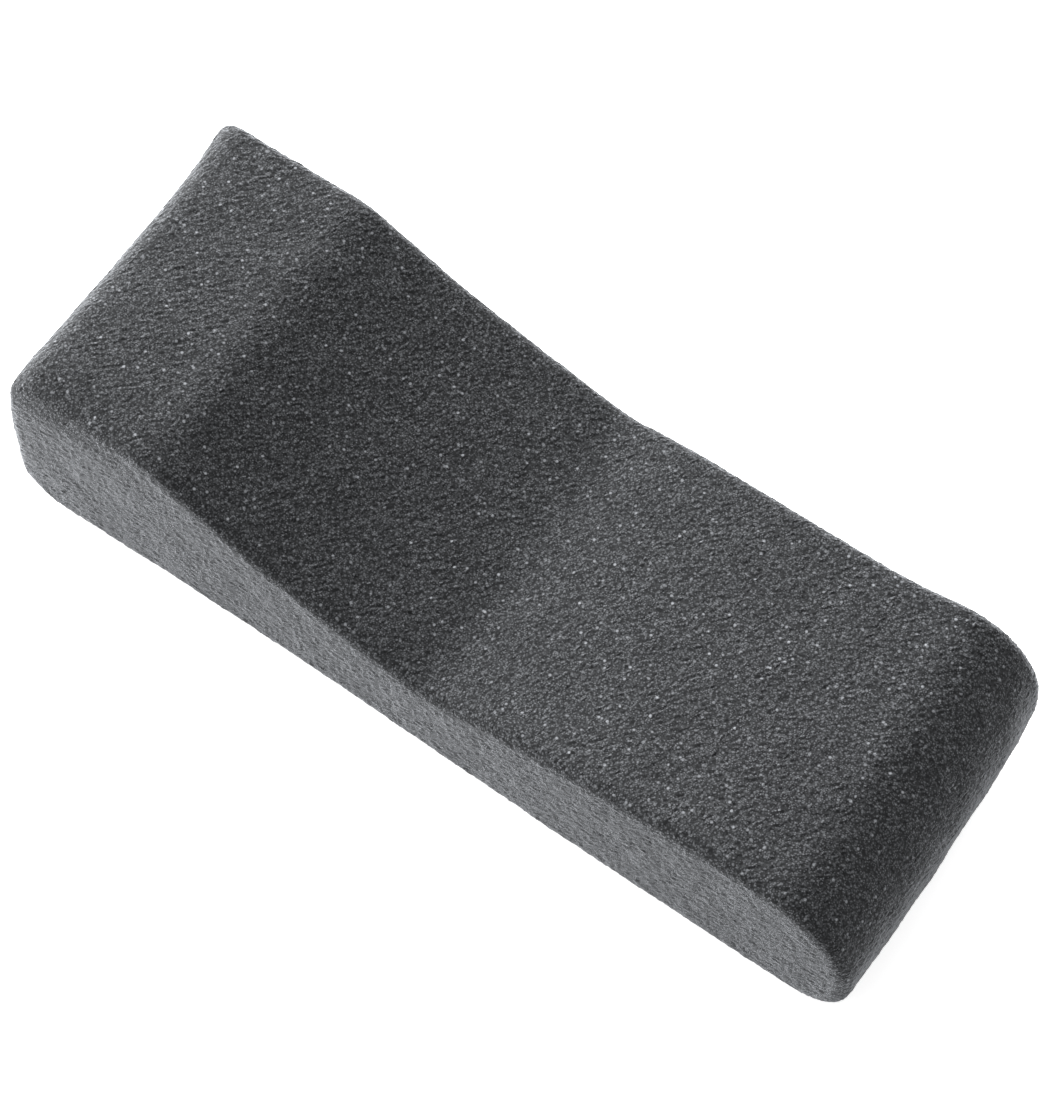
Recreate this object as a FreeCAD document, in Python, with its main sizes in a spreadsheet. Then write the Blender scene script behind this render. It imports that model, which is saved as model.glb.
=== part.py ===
import FreeCAD, Part
import math
import os
import Sketcher

# A contoured hand-held eraser block, cut from one piece of open-cell foam.
#
# +X runs along the block from the thick heel to the rounded toe, +Y across it and +Z up.
# The origin is the middle of the underside's footprint, so the block rests on Z = 0.
# The side profile is drawn once, in the XZ plane, and runs straight across the block.
# Going round it: flat underside, round toe, crowned toe top, valley for the fingers,
# hollow slope, shoulder, level heel top, and a heel face that leans out to its foot.

NODE_NAME = "foam_block"
SHEET_NAME = "dimensions"

DRIVING_DIMENSIONS = {
    # overall size
    "block_length": 127.0,
    "block_width": 47.5,
    # heights of the top at the heel, at the bottom of the valley and at the toe
    "heel_height": 27.4,
    "valley_height": 14.8,
    "toe_height": 21.8,
    # where the shoulder and the valley lie, measured from the heel end
    "shoulder_distance": 20.0,
    "valley_distance": 64.2,
    # radii of the profile's rounded stretches
    "toe_under_radius": 7.5,
    "toe_top_radius": 12.0,
    "valley_radius": 12.0,
    "slope_radius": 112.0,
    "shoulder_radius": 12.0,
    "heel_top_radius": 3.5,
    "heel_under_radius": 6.5,
    # degrees by which the heel face leans out towards its foot
    "heel_lean": 2.0,
    # rounding of the long edges between the profile and the two sides
    "side_edge_radius": 1.5,
}

# how the sketcher numbers a curve's start, end and centre, and its own X axis and origin
START = 1
END = 2
CENTRE = 3
SKETCH_X_AXIS = -1
SKETCH_ORIGIN = (-1, 1)

QUARTER_TURN = math.pi / 2
HALF_TURN = math.pi


def make_sheet(doc):
    """The driving dimensions, one row each: the name in column A, the number in B."""
    sheet = doc.addObject("Spreadsheet::Sheet", SHEET_NAME)
    for row, (alias, value) in enumerate(DRIVING_DIMENSIONS.items(), start=1):
        sheet.set("A%d" % row, alias)
        sheet.set("B%d" % row, str(value))
        sheet.setAlias("B%d" % row, alias)
    doc.recompute()
    return sheet


def flat(x, z):
    """A point of the profile sketch, whose own second axis is the block's Z."""
    return FreeCAD.Vector(x, z, 0)


def arc_about(centre, radius, from_angle, to_angle):
    """An arc that runs anticlockwise between two angles in radians."""
    circle = Part.Circle(centre, FreeCAD.Vector(0, 0, 1), radius)
    return Part.ArcOfCircle(circle, from_angle, to_angle)


def direction(from_point, to_point):
    """The angle in radians at which one point sees another."""
    step = to_point - from_point
    return math.atan2(step.y, step.x) % (2 * HALF_TURN)


def centre_above(left, left_reach, right, right_reach):
    """The upper of the two points that lie at the given distances from two others."""
    base = right - left
    along = (left_reach ** 2 - right_reach ** 2 + base.Length ** 2) / (2 * base.Length)
    up = math.sqrt(left_reach ** 2 - along ** 2)
    ahead = FreeCAD.Vector(base).normalize()
    return left + ahead * along + FreeCAD.Vector(-ahead.y, ahead.x, 0) * up


def profile_curves(size):
    """The profile's lines and arcs by name, in order and already tangent to each other."""
    heel_x = -size.block_length / 2
    toe_x = size.block_length / 2
    lean = math.radians(size.heel_lean)

    # each rounded stretch is known by its centre
    toe_under = flat(toe_x - size.toe_under_radius, size.toe_under_radius)
    toe_top = flat(toe_x - size.toe_top_radius, size.toe_height - size.toe_top_radius)
    valley = flat(heel_x + size.valley_distance, size.valley_height + size.valley_radius)
    shoulder = flat(heel_x + size.shoulder_distance, size.heel_height - size.shoulder_radius)
    heel_under = flat(heel_x + size.heel_under_radius, size.heel_under_radius)

    # the crown's highest point is level with the top of the toe, and it touches the valley
    run = toe_top.x - valley.x
    rise = valley.y - size.toe_height
    crown_radius = (run ** 2 + rise ** 2 - size.valley_radius ** 2) / (
        2 * (size.valley_radius - rise))
    crown = flat(toe_top.x, size.toe_height - crown_radius)

    # the slope's centre is above it: it passes outside the shoulder and round the valley
    slope = centre_above(
        shoulder, size.shoulder_radius + size.slope_radius,
        valley, size.slope_radius - size.valley_radius)

    # the heel face touches the arcs above and below it, on the side that it faces
    face_normal = flat(-math.cos(lean), math.sin(lean))
    foot = heel_under + face_normal * size.heel_under_radius
    heel_top_z = size.heel_height - size.heel_top_radius
    climb = math.sin(lean) * (heel_top_z - foot.y)
    heel_top = flat(foot.x + (size.heel_top_radius + climb) / math.cos(lean), heel_top_z)
    face_top = heel_top + face_normal * size.heel_top_radius

    return {
        "underside": Part.LineSegment(flat(heel_under.x, 0), flat(toe_under.x, 0)),
        "toe_under": arc_about(toe_under, size.toe_under_radius, -QUARTER_TURN, 0),
        "toe_face": Part.LineSegment(flat(toe_x, toe_under.y), flat(toe_x, toe_top.y)),
        "toe_top": arc_about(toe_top, size.toe_top_radius, 0, QUARTER_TURN),
        "crown": arc_about(crown, crown_radius, QUARTER_TURN, direction(crown, valley)),
        "valley": arc_about(
            valley, size.valley_radius, direction(slope, valley), direction(valley, crown)),
        "slope": arc_about(
            slope, size.slope_radius, direction(slope, shoulder), direction(slope, valley)),
        "shoulder": arc_about(
            shoulder, size.shoulder_radius, direction(shoulder, slope), QUARTER_TURN),
        "heel_top": Part.LineSegment(
            flat(shoulder.x, size.heel_height), flat(heel_top.x, size.heel_height)),
        "heel_round": arc_about(
            heel_top, size.heel_top_radius, QUARTER_TURN, HALF_TURN - lean),
        "heel_face": Part.LineSegment(face_top, foot),
        "heel_under": arc_about(
            heel_under, size.heel_under_radius, HALF_TURN - lean, HALF_TURN + QUARTER_TURN),
    }


# hollow arcs are met clockwise on the way round the profile, so their ends swap
HOLLOW_CURVES = ("valley", "slope")


def join_profile(sketch, number):
    """Makes each curve meet the next one, end to end and tangent."""
    names = list(number)
    for name, following in zip(names, names[1:] + names[:1]):
        leaving = START if name in HOLLOW_CURVES else END
        arriving = END if following in HOLLOW_CURVES else START
        sketch.addConstraint(Sketcher.Constraint(
            "Tangent", number[name], leaving, number[following], arriving))


def lock_directions(sketch, number):
    """The level and upright lines, and the crown centred below the top of the toe."""
    sketch.addConstraint(Sketcher.Constraint(
        "PointOnObject", number["underside"], START, SKETCH_X_AXIS))
    sketch.addConstraint(Sketcher.Constraint("Horizontal", number["underside"]))
    sketch.addConstraint(Sketcher.Constraint("Horizontal", number["heel_top"]))
    sketch.addConstraint(Sketcher.Constraint("Vertical", number["toe_face"]))
    sketch.addConstraint(Sketcher.Constraint(
        "Vertical", number["crown"], CENTRE, number["toe_top"], CENTRE))


def bind(sketch, name, constraint, formula):
    """Adds a named constraint whose value follows a formula of the sheet's numbers."""
    sketch.renameConstraint(sketch.addConstraint(constraint), name)
    sketch.setExpression("Constraints." + name, formula)


def bind_radii(sketch, number, size):
    """Every arc's radius but the crown's, which follows from its two ends."""
    arcs = {
        "toe_under": "toe_under_radius",
        "toe_top": "toe_top_radius",
        "valley": "valley_radius",
        "slope": "slope_radius",
        "shoulder": "shoulder_radius",
        "heel_round": "heel_top_radius",
        "heel_under": "heel_under_radius",
    }
    for name, alias in arcs.items():
        radius = Sketcher.Constraint("Radius", number[name], getattr(size, alias))
        bind(sketch, alias, radius, SHEET_NAME + "." + alias)


def bind_places(sketch, number, size):
    """The heights, the lengthwise places and the heel's lean."""
    def height(name, curve, point, formula):
        value = sketch.getPoint(number[curve], point).y
        constraint = Sketcher.Constraint(
            "DistanceY", *SKETCH_ORIGIN, number[curve], point, value)
        bind(sketch, name, constraint, formula)

    def distance_along(name, curve, point, formula):
        value = sketch.getPoint(number[curve], point).x
        constraint = Sketcher.Constraint(
            "DistanceX", *SKETCH_ORIGIN, number[curve], point, value)
        bind(sketch, name, constraint, formula)

    height("heel_height", "heel_top", START, "dimensions.heel_height")
    height("toe_height", "toe_top", END, "dimensions.toe_height")
    height("valley_centre_height", "valley", CENTRE,
           "dimensions.valley_height + dimensions.valley_radius")
    distance_along("toe_end", "toe_face", START, "dimensions.block_length / 2")
    distance_along("heel_centre", "heel_under", CENTRE,
                   "dimensions.heel_under_radius - dimensions.block_length / 2")
    distance_along("valley_place", "valley", CENTRE,
                   "dimensions.valley_distance - dimensions.block_length / 2")
    distance_along("shoulder_place", "shoulder", CENTRE,
                   "dimensions.shoulder_distance - dimensions.block_length / 2")
    lean = Sketcher.Constraint(
        "Angle", number["underside"], START, number["heel_face"], END,
        QUARTER_TURN - math.radians(size.heel_lean))
    bind(sketch, "heel_angle", lean, "(90 - dimensions.heel_lean) * 1 deg")


def make_profile(doc, body, size):
    """The fully constrained side profile, on the body's own XZ plane."""
    sketch = body.newObject("Sketcher::SketchObject", "side_profile")
    plane = next(f for f in body.Origin.OriginFeatures if f.Role == "XZ_Plane")
    sketch.AttachmentSupport = [(plane, "")]
    sketch.MapMode = "FlatFace"
    number = {}
    for name, curve in profile_curves(size).items():
        number[name] = sketch.addGeometry(curve, False)
    join_profile(sketch, number)
    lock_directions(sketch, number)
    bind_radii(sketch, number, size)
    bind_places(sketch, number, size)
    doc.recompute()
    return sketch


def side_faces(solid):
    """The names of the two flat side faces, which look along -Y and +Y."""
    names = []
    for i, face in enumerate(solid.Faces, start=1):
        if abs(abs(face.normalAt(0, 0).y) - 1) < 1e-6:
            names.append("Face%d" % i)
    return names


def make_foam_block(doc, size):
    """The block: its profile padded across the width, with its long edges softened."""
    body = doc.addObject("PartDesign::Body", NODE_NAME)
    body.Label = NODE_NAME
    pad = body.newObject("PartDesign::Pad", "block")
    pad.Profile = make_profile(doc, body, size)
    pad.SideType = "Symmetric"
    pad.setExpression("Length", "dimensions.block_width")
    doc.recompute()
    softened = body.newObject("PartDesign::Fillet", "side_edges")
    softened.Base = (pad, side_faces(pad.Shape))
    softened.setExpression("Radius", "dimensions.side_edge_radius")
    body.Tip = softened
    doc.recompute()
    return body


def check_document(doc, bodies):
    """Stops unless every object was worked out and every body is one sound solid."""
    for item in doc.Objects:
        if "Invalid" in item.State or "Error" in item.State:
            raise RuntimeError("%s failed: %s" % (item.Name, item.State))
    for body in bodies:
        shape = body.Shape
        if shape.isNull() or not shape.isValid() or len(shape.Solids) != 1:
            raise RuntimeError(body.Label + " is not one valid solid")


def main():
    doc = FreeCAD.newDocument("foam_eraser")
    size = make_sheet(doc)
    bodies = [make_foam_block(doc, size)]
    check_document(doc, bodies)
    os.makedirs("parts", exist_ok=True)
    for body in bodies:
        body.Shape.exportStep("parts/%s.step" % body.Label)
        box = body.Shape.optimalBoundingBox()
        print("%s: %.2f x %.2f x %.2f mm, %.1f cm3" % (
            body.Label, box.XLength, box.YLength, box.ZLength, body.Shape.Volume / 1000))


main()
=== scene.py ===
import math

import bpy
import mathutils
import numpy as np
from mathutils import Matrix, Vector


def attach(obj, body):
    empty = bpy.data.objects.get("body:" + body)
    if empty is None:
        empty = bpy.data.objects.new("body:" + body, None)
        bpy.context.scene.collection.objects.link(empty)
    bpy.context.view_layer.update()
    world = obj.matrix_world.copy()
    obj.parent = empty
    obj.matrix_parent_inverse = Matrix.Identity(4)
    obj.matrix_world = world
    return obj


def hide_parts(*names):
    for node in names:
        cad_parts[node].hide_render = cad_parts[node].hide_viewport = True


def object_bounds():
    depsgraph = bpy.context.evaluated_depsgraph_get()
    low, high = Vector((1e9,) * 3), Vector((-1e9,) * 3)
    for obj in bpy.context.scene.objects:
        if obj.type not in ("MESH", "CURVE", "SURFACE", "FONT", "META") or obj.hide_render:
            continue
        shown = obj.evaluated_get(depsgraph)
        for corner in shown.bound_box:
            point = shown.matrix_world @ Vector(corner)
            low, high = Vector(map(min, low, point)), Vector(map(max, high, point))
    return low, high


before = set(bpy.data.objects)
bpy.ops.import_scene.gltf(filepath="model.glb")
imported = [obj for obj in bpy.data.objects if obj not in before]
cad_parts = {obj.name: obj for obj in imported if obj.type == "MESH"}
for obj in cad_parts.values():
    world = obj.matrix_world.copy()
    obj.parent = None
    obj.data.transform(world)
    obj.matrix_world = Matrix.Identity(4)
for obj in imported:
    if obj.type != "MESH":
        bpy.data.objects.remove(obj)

# A contoured foam eraser block on a plain pale floor, in the frame's metres:
# +X from the thick heel to the rounded toe, +Z up, the underside on Z = 0.

CAD_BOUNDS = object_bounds()

MM = 0.001
CAD_NODE = "foam_block"
PIECE_NAME = "eraser_foam"
SEED = 17

# the CAD block's own sizes, in millimetres
HALF_LENGTH, HALF_WIDTH, HEEL_HEIGHT = [round(side / MM, 2) for side in CAD_BOUNDS[1]]
SHOULDER = -43.5

# the reference view: where the camera aims, from which side, how far away and how long a lens
VIEW_AIM = (-4.5 * MM, 6.5 * MM, 0.0)
VIEW_AZIMUTH = 36.0
VIEW_ELEVATION = 61.0
VIEW_DISTANCE = 452.8 * MM
SENSOR_WIDTH = 36.0
LENS = 120.5

# the foam's surface: the grid that carries it and how far it strays, in millimetres
GRID = 0.47
GRAIN_HEIGHT = 0.035
DENT_HEIGHT = 0.06
DENT_SIZE = 9.0
SWELL = 0.12

# how the soft block strays from its drawn shape, in millimetres
NEAR_BOW = 0.25
NEAR_WAVE = -0.30
FAR_BOW = -0.55
FAR_WAVE = -1.40
TOE_KINK = 0.35
HEEL_SKEW = -2.2
TOE_SKEW = -2.0
HEEL_STRETCH = -0.75
HEEL_TOP_STRETCH = -0.55
HEEL_HOLLOW = 0.85
TOE_BULGE = 0.45
TOE_TRIM = 0.40
FAR_HEEL_DROP = -1.0
FAR_VALLEY_RISE = 1.9
FAR_TOE_DROP = -1.7
HEEL_CORNER_CRUSH = 0.6
FAR_CORNER_STRETCH = 1.0
HEEL_FALL = 0.8
SHOULDER_DIP = 0.4
HEEL_SIDE_ROUND = 1.3

# where those differences are and how far they spread, in millimetres
END_START = 45.0
TOE_KINK_AT, TOE_KINK_SPREAD = 54.0, 5.0
HEEL_SAG_AT, VALLEY_SAG_AT, TOE_SAG_AT, SAG_SPREAD = -48.0, 0.0, 44.0, 16.0
TOP_HEIGHT = 12.0
SHOULDER_SPREAD = 6.0
SIDE_ROUND_START, SIDE_ROUND_RUN, SIDE_ROUND_SPREAD = -38.0, 15.0, 2.6
CORNER_SPREAD = 3.5
TRIM_SHARE = 0.22
DIAGONAL = 0.7


def toward(azimuth, elevation):
    """The unit vector to something seen at that azimuth and elevation, in degrees."""
    a = math.radians(azimuth)
    e = math.radians(elevation)
    return mathutils.Vector((math.sin(a) * math.cos(e), -math.cos(a) * math.cos(e), math.sin(e)))


def link(name, data):
    """A new object in the scene."""
    made = bpy.data.objects.new(name, data)
    bpy.context.collection.objects.link(made)
    return made


# ---- the foam's shape


def hump(x, place, spread):
    """A smooth rise of height 1 at one place along the block."""
    return np.exp(-0.5 * ((x - place) / spread) ** 2)


def spot(a, b, spread):
    """1 where both distances are 0, fading smoothly around there."""
    return np.exp(-(a ** 2 + b ** 2) / (2 * spread ** 2))


def end_share(x, start):
    """0 as far as the start and 1 at the block's end, on the side of the start's sign."""
    sign = 1.0 if start > 0 else -1.0
    return np.clip((sign * x - abs(start)) / (HALF_LENGTH - abs(start)), 0, 1) ** 2


def stray(p):
    """Moves points in millimetres from the drawn block to the cut and handled one."""
    x, y, z = p[:, 0].copy(), p[:, 1].copy(), p[:, 2].copy()
    along = x / HALF_LENGTH
    across = np.clip(y / HALF_WIDTH, -1, 1)
    near = np.clip(-across, 0, 1)
    far = np.clip(across, 0, 1)
    bow = 1 - along ** 2

    # the two long sides bow in plan, each in its own way
    move_y = near * bow * (NEAR_BOW + NEAR_WAVE * np.sin(math.pi * along))
    move_y += far * bow * (FAR_BOW + 2 * FAR_WAVE * along)
    move_y += far * TOE_KINK * hump(x, TOE_KINK_AT, TOE_KINK_SPREAD)

    # the ends are cut a little askew, the heel hollow and the toe bulging in plan
    skew = HEEL_SKEW + (TOE_SKEW - HEEL_SKEW) * (along + 1) / 2
    move_x = 0.5 * skew * across
    move_x += end_share(x, -END_START) * (
        HEEL_STRETCH + HEEL_TOP_STRETCH * z / HEEL_HEIGHT + HEEL_HOLLOW * (1 - across ** 2))
    move_x += end_share(x, END_START) * (
        TOE_BULGE * (1 - across ** 2) - TOE_TRIM * np.exp(-((1 - across) / TRIM_SHARE) ** 2))

    # the top is flatter on the far side
    top = np.clip(z / TOP_HEIGHT, 0, 1)
    sag = (FAR_HEEL_DROP * hump(x, HEEL_SAG_AT, SAG_SPREAD)
           + FAR_VALLEY_RISE * hump(x, VALLEY_SAG_AT, SAG_SPREAD)
           + FAR_TOE_DROP * hump(x, TOE_SAG_AT, SAG_SPREAD))
    move_z = top * (1 + across) / 2 * sag

    # the heel's top falls gently towards its end, and its shoulder is soft
    move_z -= top * HEEL_FALL * end_share(x, SHOULDER)
    move_z -= top * SHOULDER_DIP * hump(x, SHOULDER, SHOULDER_SPREAD)

    # the heel's near upper edge is rounder than the rest of that edge
    edge = spot(y + HALF_WIDTH, z - HEEL_HEIGHT, SIDE_ROUND_SPREAD)
    start = np.clip((SIDE_ROUND_START - x) / SIDE_ROUND_RUN, 0, 1)
    rounding = DIAGONAL * HEEL_SIDE_ROUND * edge * start
    move_y += rounding
    move_z -= rounding

    # the heel's far corner is sharper than the drawn one
    stretch = DIAGONAL * FAR_CORNER_STRETCH * spot(x + HALF_LENGTH, y - HALF_WIDTH, CORNER_SPREAD)
    move_x -= stretch
    move_y += stretch

    # the near corner of the heel's top is pressed in
    corner = spot(x + HALF_LENGTH, z - HEEL_HEIGHT, CORNER_SPREAD)
    crush = DIAGONAL * HEEL_CORNER_CRUSH * near ** 2 * corner
    move_x += crush
    move_z -= crush
    return np.stack([x + move_x, y + move_y, z + move_z], axis=1)


def smooth_noise(points, size, rng, waves=24):
    """A gentle wandering value from about -1 to 1 that changes over the given distance."""
    total = np.zeros(len(points))
    for _ in range(waves):
        axis = rng.normal(size=3)
        axis *= 2 * math.pi / (size * np.linalg.norm(axis)) * rng.uniform(0.6, 1.5)
        total += np.sin(points @ axis + rng.uniform(0, 2 * math.pi))
    return total * math.sqrt(2.0 / waves) / 2


def foam_mesh():
    """The CAD block's surface on an even grid fine enough to carry the grain."""
    block = link("even_block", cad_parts[CAD_NODE].data.copy())
    remesh = block.modifiers.new("even_grid", "REMESH")
    remesh.mode = "VOXEL"
    remesh.voxel_size = GRID * MM
    graph = bpy.context.evaluated_depsgraph_get()
    mesh = bpy.data.meshes.new_from_object(block.evaluated_get(graph))
    bpy.data.objects.remove(block)
    return mesh


def make_foam():
    """The foam as one mesh, strayed from the CAD block, with its dents and grain."""
    mesh = foam_mesh()
    count = len(mesh.vertices)
    flat = np.empty(count * 3)
    mesh.vertices.foreach_get("co", flat)
    points = flat.reshape(-1, 3) / MM
    mesh.vertices.foreach_get("normal", flat)
    normals = flat.reshape(-1, 3).copy()

    rng = np.random.default_rng(SEED)
    push = SWELL + DENT_HEIGHT * smooth_noise(points, DENT_SIZE, rng)
    push += GRAIN_HEIGHT * rng.normal(size=count)
    moved = stray(points) + normals * push[:, None]
    moved[:, 2] = np.maximum(moved[:, 2], 0.0)

    mesh.vertices.foreach_set("co", (moved * MM).ravel())
    mesh.update()
    return link(PIECE_NAME, mesh)


# ---- the foam's material

# lengths in millimetres
CELL = 0.42
FINE_CELL = 0.25
PAINTED_GLINT_SPACING = 0.85
MOTTLE = 7.0
BUMP_DEPTH = 0.10
BUMP_STRENGTH = 0.42

# the grain's parts, each as its share on the top and its share on the sawn sides. The sides'
# shares add up to about a tenth more than the top's, painted light that makes the sides lighter
# where more light falls on them
COARSE_SHARES = (0.75, 0.35)
FINE_SHARES = (1.2, 1.8)
PAINTED_GLINT_SHARES = (1.0, 0.35)
BASE_TONE = 0.05
ROUGHNESS = 0.95
SPECULAR = 0.2
SHEEN = 0.40
SHEEN_ROUGHNESS = 0.35
SHEEN_TINT = (0.92, 0.95, 1.0, 1)
DARKEST = (0.004, 0.0042, 0.0047, 1)
LIGHTEST = (0.086, 0.0895, 0.095, 1)
# the colour of the painted highlights, specks of caught light painted into the base colour
PAINTED_GLINT_COLOUR = (0.20, 0.207, 0.22, 1)


class Nodes:
    """Short ways of adding nodes to one material."""

    def __init__(self, name):
        self.material = bpy.data.materials.new(name)
        self.material.use_nodes = True
        self.tree = self.material.node_tree
        self.shader = self.tree.nodes["Principled BSDF"]

    def add(self, kind, settings=None, inputs=None):
        node = self.tree.nodes.new(kind)
        for name, value in (settings or {}).items():
            setattr(node, name, value)
        for name, value in (inputs or {}).items():
            if isinstance(value, bpy.types.NodeSocket):
                self.tree.links.new(value, node.inputs[name])
            else:
                node.inputs[name].default_value = value
        return node

    def math(self, operation, a, b=0.0):
        return self.add("ShaderNodeMath", {"operation": operation}, {0: a, 1: b}).outputs[0]

    def span(self, value, low, high, to_low=0.0, to_high=1.0):
        node = self.add("ShaderNodeMapRange", {"interpolation_type": "SMOOTHSTEP"}, {
            "Value": value, "From Min": low, "From Max": high,
            "To Min": to_low, "To Max": to_high})
        return node.outputs["Result"]

    def cells(self, place, size):
        return self.add("ShaderNodeTexVoronoi", None, {
            "Vector": place, "Scale": 1.0 / (size * MM)})

    def random(self, cells):
        """A random value from 0 to 1 for each cell."""
        colour = self.add("ShaderNodeSeparateColor", None, {"Color": cells.outputs["Color"]})
        return colour.outputs["Green"]

    def mix(self, share, a, b):
        node = self.add("ShaderNodeMix", {"data_type": "RGBA"}, {0: share, 6: a, 7: b})
        return node.outputs[2]

    def feed(self, name, value):
        self.tree.links.new(value, self.shader.inputs[name])

    def noise(self, place, size):
        node = self.add("ShaderNodeTexNoise", None, {
            "Vector": place, "Scale": 1.0 / (size * MM), "Detail": 2.0})
        return node.outputs["Fac"]


def dots(n, place, size):
    """Round light dots of uneven brightness, one in each cell."""
    cells = n.cells(place, size)
    dot = n.span(cells.outputs["Distance"], 0.08, 0.62, 1.0, 0.0)
    return n.math("MULTIPLY", dot, n.random(cells))


def foam_material():
    n = Nodes("open_cell_foam")
    coordinates = n.add("ShaderNodeTexCoord")
    place = coordinates.outputs["Object"]

    # 1 on the two sawn sides, whose grain is finer and more even than the top's and whose tone is
    # painted about a tenth lighter than the top's, painted light for the stronger light on those
    # sides
    facing = n.add("ShaderNodeSeparateXYZ", None, {"Vector": coordinates.outputs["Normal"]})
    sawn_and_lit = n.span(n.math("ABSOLUTE", facing.outputs["Y"]), 0.55, 0.9)

    # light cell walls over dark pores, at two sizes
    coarse = dots(n, place, CELL)
    fine = dots(n, place, FINE_CELL)
    # painted light: the sides' larger shares make the sawn sides about a tenth lighter than the
    # top
    tone = n.math("ADD", n.math("MULTIPLY", coarse, n.span(sawn_and_lit, 0.0, 1.0, *COARSE_SHARES)),
                  n.math("MULTIPLY", fine, n.span(sawn_and_lit, 0.0, 1.0, *FINE_SHARES)))
    mottle = n.span(n.noise(place, MOTTLE), 0.3, 0.7, 0.93, 1.07)
    tone = n.math("ADD", n.math("MULTIPLY", tone, mottle), BASE_TONE)

    # painted highlights: bright specks painted into the base colour where single cell walls would
    # catch the light, fewer of them on the sawn sides
    painted_glint_cells = n.cells(place, PAINTED_GLINT_SPACING)
    painted_glint_spots = n.span(painted_glint_cells.outputs["Distance"], 0.12, 0.32, 1.0, 0.0)
    painted_glint_luck = n.math("POWER", n.random(painted_glint_cells), 3.0)
    painted_glint = n.math("MULTIPLY", n.math("MULTIPLY", painted_glint_spots, painted_glint_luck),
                   n.span(sawn_and_lit, 0.0, 1.0, *PAINTED_GLINT_SHARES))

    base = n.mix(tone, DARKEST, LIGHTEST)
    n.feed("Base Color", n.mix(painted_glint, base, PAINTED_GLINT_COLOUR))
    n.shader.inputs["Roughness"].default_value = ROUGHNESS
    n.shader.inputs["Specular IOR Level"].default_value = SPECULAR
    n.shader.inputs["Sheen Weight"].default_value = SHEEN
    n.shader.inputs["Sheen Roughness"].default_value = SHEEN_ROUGHNESS
    n.shader.inputs["Sheen Tint"].default_value = SHEEN_TINT

    bump = n.add("ShaderNodeBump", None, {
        "Strength": BUMP_STRENGTH, "Distance": BUMP_DEPTH * MM, "Height": tone})
    n.feed("Normal", bump.outputs["Normal"])
    return n.material


# ---- the stage

FLOOR_SIZE = 6.0
FLOOR_DEPTH = -0.05 * MM
WORLD_STRENGTH = 0.45
FLOOR_GLOW = 0.72
# each light: the azimuth and elevation it shines from, its distance and size in metres, and
# its power in watts
LIGHTS = {
    "left_low": (-90.0, 15.0, 1.2, 0.7, 46.0),
    "left_high": (-90.0, 60.0, 1.2, 0.7, 10.5),
    "front": (-50.0, 15.0, 0.5, 0.35, 1.1),
    "back": (-165.0, 10.0, 1.2, 0.7, 38.0),
}


def make_camera():
    data = bpy.data.cameras.new("camera")
    data.sensor_fit = "HORIZONTAL"
    data.sensor_width = SENSOR_WIDTH
    data.lens = LENS
    data.clip_start = 0.01
    camera = link("camera", data)
    back = toward(VIEW_AZIMUTH, VIEW_ELEVATION)
    camera.location = mathutils.Vector(VIEW_AIM) + back * VIEW_DISTANCE
    camera.rotation_euler = back.to_track_quat("Z", "Y").to_euler()
    bpy.context.scene.camera = camera


def make_floor():
    half = FLOOR_SIZE / 2
    corners = [(-half, -half, 0), (half, -half, 0), (half, half, 0), (-half, half, 0)]
    mesh = bpy.data.meshes.new("floor")
    mesh.from_pydata(corners, [], [(0, 1, 2, 3)])
    floor = link("floor", mesh)
    floor.location.z = FLOOR_DEPTH
    material = bpy.data.materials.new("pale_floor")
    material.use_nodes = True
    shader = material.node_tree.nodes["Principled BSDF"]
    shader.inputs["Base Color"].default_value = (0.92, 0.92, 0.92, 1)
    shader.inputs["Roughness"].default_value = 1.0
    shader.inputs["Specular IOR Level"].default_value = 0.0
    shader.inputs["Emission Color"].default_value = (1, 1, 1, 1)
    shader.inputs["Emission Strength"].default_value = FLOOR_GLOW
    mesh.materials.append(material)


def make_light(name, azimuth, elevation, distance, size, power):
    data = bpy.data.lights.new(name, "AREA")
    data.shape = "DISK"
    data.size = size
    data.energy = power
    light = link(name, data)
    back = toward(azimuth, elevation)
    light.location = back * distance
    light.rotation_euler = back.to_track_quat("Z", "Y").to_euler()
    light.visible_camera = False


def make_world():
    world = bpy.data.worlds.new("world")
    world.use_nodes = True
    background = world.node_tree.nodes["Background"]
    background.inputs["Color"].default_value = (1, 1, 1, 1)
    background.inputs["Strength"].default_value = WORLD_STRENGTH
    bpy.context.scene.world = world


def make_stage():
    make_camera()
    make_floor()
    make_world()
    for name, placing in LIGHTS.items():
        make_light(name, *placing)
    bpy.context.scene.view_settings.view_transform = "Standard"


make_stage()
foam = make_foam()
foam.data.materials.clear()
foam.data.materials.append(foam_material())
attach(foam, "root")
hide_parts(CAD_NODE)
